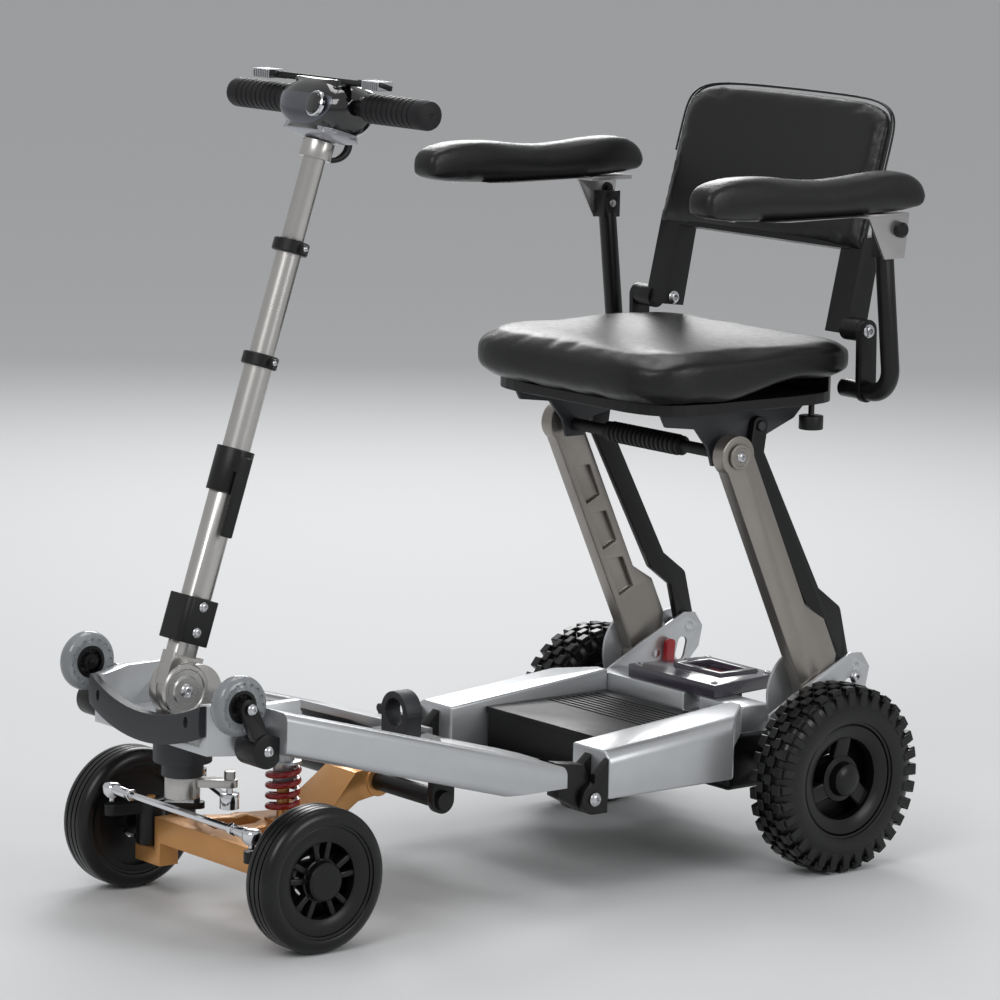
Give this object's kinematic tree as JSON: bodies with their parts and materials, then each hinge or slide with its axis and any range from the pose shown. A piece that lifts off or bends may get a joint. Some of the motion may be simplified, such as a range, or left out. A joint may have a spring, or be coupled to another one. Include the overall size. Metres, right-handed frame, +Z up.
{
  "type": "folding mobility scooter",
  "caption": "Folding mobility scooter: telescopic steering column, sprung front axle, hinged chassis and a seat on a folding parallel linkage.",
  "frame": {"origin": "on the floor, under the middle of the scooter's plan", "axes": "+Z up, -Y towards the front wheels, +X towards the rider's left"},
  "size_m": [0.612, 1.0646, 1.0386],
  "materials": {
    "silver_paint": "satin silver metallic paint",
    "black_paint": "satin black powder coat",
    "dark_casting": "textured charcoal powder coat",
    "grey_casting": "satin titanium grey paint",
    "copper_paint": "metallic copper-gold paint",
    "red_paint": "gloss red",
    "steel": "zinc-plated steel",
    "tube": "clear anodised aluminium",
    "tyre": "black rubber",
    "rim": "black moulded nylon",
    "black_plastic": "black moulded plastic",
    "gloss_black": "gloss black moulded plastic",
    "clear_wheel": "clear grey polyurethane",
    "smoked": "smoked translucent plastic",
    "grip": "black grip rubber",
    "vinyl": "black grained vinyl over foam"
  },
  "bodies": {
    "rear_frame": {"rear_rails": "silver_paint", "rear_hinge_lugs": "black_paint", "rear_pins": "steel", "battery_tray": "black_paint", "battery_pack": "black_plastic", "rear_cross_beam": "silver_paint", "drive_unit": "black_paint", "post_plates": "silver_paint", "cover_plate": "smoked"},
    "release_lever": {"release_lever": "red_paint"},
    "rear_wheel_left": {"rear_tyre_left": "tyre", "rear_rim_left": "rim"},
    "rear_wheel_right": {"rear_tyre_right": "tyre", "rear_rim_right": "rim"},
    "front_frame": {"front_rails": "silver_paint", "front_hinge_lugs": "black_paint", "deck_bridge": "black_paint", "nose_casting": "silver_paint", "head_tube": "dark_casting", "bumper": "dark_casting", "kick_arms": "black_paint", "pivot_tube": "black_paint", "shock_tower": "silver_paint", "column_clamp": "dark_casting"},
    "clamp_jaw": {"clamp_jaw": "dark_casting"},
    "kick_wheel_left": {"kick_wheel_left": "clear_wheel"},
    "kick_wheel_right": {"kick_wheel_right": "clear_wheel"},
    "front_axle": {"axle_casting": "copper_paint", "coil_spring": "red_paint"},
    "knuckle_left": {"knuckle_left": "black_paint"},
    "knuckle_right": {"knuckle_right": "black_paint"},
    "front_wheel_left": {"front_tyre_left": "tyre", "front_rim_left": "rim"},
    "front_wheel_right": {"front_tyre_right": "tyre", "front_rim_right": "rim"},
    "tie_rod": {"tie_rod": "steel"},
    "drag_link": {"drag_link": "steel"},
    "steering_head": {"steering_stem": "tube"},
    "column": {"lower_tube": "tube", "fold_sleeve": "black_plastic", "height_clamp": "black_plastic"},
    "clamp_lever": {"clamp_lever": "black_plastic"},
    "middle_tube": {"middle_tube": "tube"},
    "upper_tube": {"upper_tube": "tube"},
    "console": {"top_tube": "tube", "console_shell": "gloss_black", "handlebar": "grip"},
    "thumb_lever": {"thumb_lever": "black_plastic"},
    "speed_dial": {"speed_dial": "gloss_black"},
    "seat_arms": {"seat_arms": "grey_casting"},
    "seat_links": {"seat_links": "black_paint"},
    "seat": {"seat_brackets": "dark_casting", "seat_pan": "black_plastic", "seat_cushion": "vinyl", "lift_handle": "black_plastic", "armrest_tubes": "black_paint"},
    "seat_knob": {"seat_knob": "black_plastic"},
    "backrest": {"backrest": "vinyl"},
    "armrest_left": {"armrest_left": "vinyl"},
    "armrest_right": {"armrest_right": "vinyl"}
  },
  "joints": [
    {"name": "chassis_fold", "type": "hinge", "parent": "rear_frame", "child": "front_frame", "pos_m": [0, 0.03216, 0.132], "axis": [1, 0, 0], "range_deg": [0, 90]},
    {"name": "steering", "type": "hinge", "parent": "front_frame", "child": "steering_head", "pos_m": [0, -0.46184, 0.2], "axis": [0, 0, 1], "range_deg": [-35, 35]},
    {"name": "column_fold", "type": "hinge", "parent": "steering_head", "child": "column", "pos_m": [0, -0.45884, 0.293], "axis": [-1, 0, 0], "range_deg": [0, 64]},
    {"name": "column_height", "type": "slide", "parent": "column", "child": "middle_tube", "axis": [0, -0.304, -0.9527], "range_m": [0, 0.1]},
    {"name": "upper_tube_slide", "type": "slide", "parent": "middle_tube", "child": "upper_tube", "axis": [0, -0.304, -0.9527], "range_m": [0, 0.1245]},
    {"name": "top_tube_slide", "type": "slide", "parent": "upper_tube", "child": "console", "axis": [0, -0.304, -0.9527], "range_m": [0, 0.1005]},
    {"name": "clamp_lever_pivot", "type": "hinge", "parent": "column", "child": "clamp_lever", "pos_m": [0.034, -0.39699, 0.57559], "axis": [0, -0.9527, 0.304], "range_deg": [0, 90]},
    {"name": "thumb_lever_pivot", "type": "hinge", "parent": "console", "child": "thumb_lever", "pos_m": [0, -0.26592, 1.03236], "axis": [0, 0.304, 0.9527], "range_deg": [-8, 8], "stiffness_Nm_per_rad": 0.5},
    {"name": "speed_dial_turn", "type": "hinge", "parent": "console", "child": "speed_dial", "pos_m": [0.034, -0.29752, 1.00571], "axis": [0, -0.9527, 0.304], "range_deg": [0, 270]},
    {"name": "clamp_jaw_pivot", "type": "hinge", "parent": "front_frame", "child": "clamp_jaw", "pos_m": [-0.031, -0.12484, 0.228], "axis": [0, -1, 0], "range_deg": [0, 80]},
    {"name": "suspension", "type": "hinge", "parent": "front_frame", "child": "front_axle", "pos_m": [0, -0.18184, 0.151], "axis": [-1, 0, 0], "range_deg": [0, 2.5], "stiffness_Nm_per_rad": 640, "springref_deg": -4.58, "deforming": ["coil_spring"]},
    {"name": "kingpin_left", "type": "hinge", "parent": "front_axle", "child": "knuckle_left", "pos_m": [0.14, -0.41184, 0.096], "axis": [0, 0, 1], "range_deg": [-35, 35]},
    {"name": "kingpin_right", "type": "hinge", "parent": "front_axle", "child": "knuckle_right", "pos_m": [-0.14, -0.41184, 0.096], "axis": [0, 0, 1], "range_deg": [-35, 35]},
    {"name": "tie_rod_ball", "type": "hinge", "parent": "knuckle_left", "child": "tie_rod", "pos_m": [0.15, -0.46384, 0.141], "axis": [0, 0, 1], "range_deg": [-35, 35]},
    {"name": "drag_link_ball", "type": "hinge", "parent": "steering_head", "child": "drag_link", "pos_m": [0.038, -0.41784, 0.157], "axis": [0, 0, 1], "range_deg": [-35, 35]},
    {"name": "front_wheel_left_spin", "type": "hinge", "parent": "knuckle_left", "child": "front_wheel_left", "pos_m": [0.197, -0.40384, 0.09], "axis": [1, 0, 0], "continuous": true},
    {"name": "front_wheel_right_spin", "type": "hinge", "parent": "knuckle_right", "child": "front_wheel_right", "pos_m": [-0.197, -0.40384, 0.09], "axis": [1, 0, 0], "continuous": true},
    {"name": "rear_wheel_left_spin", "type": "hinge", "parent": "rear_frame", "child": "rear_wheel_left", "pos_m": [0.2405, 0.40216, 0.124], "axis": [1, 0, 0], "continuous": true},
    {"name": "rear_wheel_right_spin", "type": "hinge", "parent": "rear_frame", "child": "rear_wheel_right", "pos_m": [-0.2405, 0.40216, 0.124], "axis": [1, 0, 0], "continuous": true},
    {"name": "kick_wheel_left_spin", "type": "hinge", "parent": "front_frame", "child": "kick_wheel_left", "pos_m": [0.162, -0.49484, 0.306], "axis": [1, 0, 0], "continuous": true},
    {"name": "kick_wheel_right_spin", "type": "hinge", "parent": "front_frame", "child": "kick_wheel_right", "pos_m": [-0.162, -0.49484, 0.306], "axis": [1, 0, 0], "continuous": true},
    {"name": "seat_fold", "type": "hinge", "parent": "rear_frame", "child": "seat_arms", "pos_m": [0, 0.42616, 0.219], "axis": [-1, 0, 0], "range_deg": [-50, 0]},
    {"name": "seat_level", "type": "hinge", "parent": "seat_arms", "child": "seat", "pos_m": [0, 0.27016, 0.548], "axis": [-1, 0, 0], "range_deg": [0, 50]},
    {"name": "seat_link_pivot", "type": "hinge", "parent": "rear_frame", "child": "seat_links", "pos_m": [0, 0.48316, 0.252], "axis": [-1, 0, 0], "range_deg": [-50, 0]},
    {"name": "backrest_fold", "type": "hinge", "parent": "seat", "child": "backrest", "pos_m": [0, 0.44616, 0.704], "axis": [1, 0, 0], "range_deg": [0, 100]},
    {"name": "armrest_left_lift", "type": "hinge", "parent": "seat", "child": "armrest_left", "pos_m": [0.275, 0.42616, 0.825], "axis": [-1, 0, 0], "range_deg": [0, 85]},
    {"name": "armrest_right_lift", "type": "hinge", "parent": "seat", "child": "armrest_right", "pos_m": [-0.275, 0.42616, 0.825], "axis": [-1, 0, 0], "range_deg": [0, 85]},
    {"name": "seat_knob_turn", "type": "hinge", "parent": "seat", "child": "seat_knob", "pos_m": [0.17, 0.40616, 0.59], "axis": [0, 0, 1], "continuous": true},
    {"name": "release_lever_turn", "type": "hinge", "parent": "rear_frame", "child": "release_lever", "pos_m": [-0.14, 0.44116, 0.196], "axis": [1, 0, 0], "range_deg": [0, 25]}
  ],
  "couplings": [
    {"joint": "upper_tube_slide", "follows": "column_fold", "m_per_rad": 0.11101},
    {"joint": "top_tube_slide", "follows": "column_fold", "m_per_rad": 0.089525},
    {"joint": "kingpin_left", "follows": "steering", "ratio": 1},
    {"joint": "kingpin_right", "follows": "steering", "ratio": 1},
    {"joint": "tie_rod_ball", "follows": "steering", "ratio": -1},
    {"joint": "drag_link_ball", "follows": "steering", "ratio": -1},
    {"joint": "seat_level", "follows": "seat_fold", "ratio": -1},
    {"joint": "seat_link_pivot", "follows": "seat_fold", "ratio": 1}
  ]
}
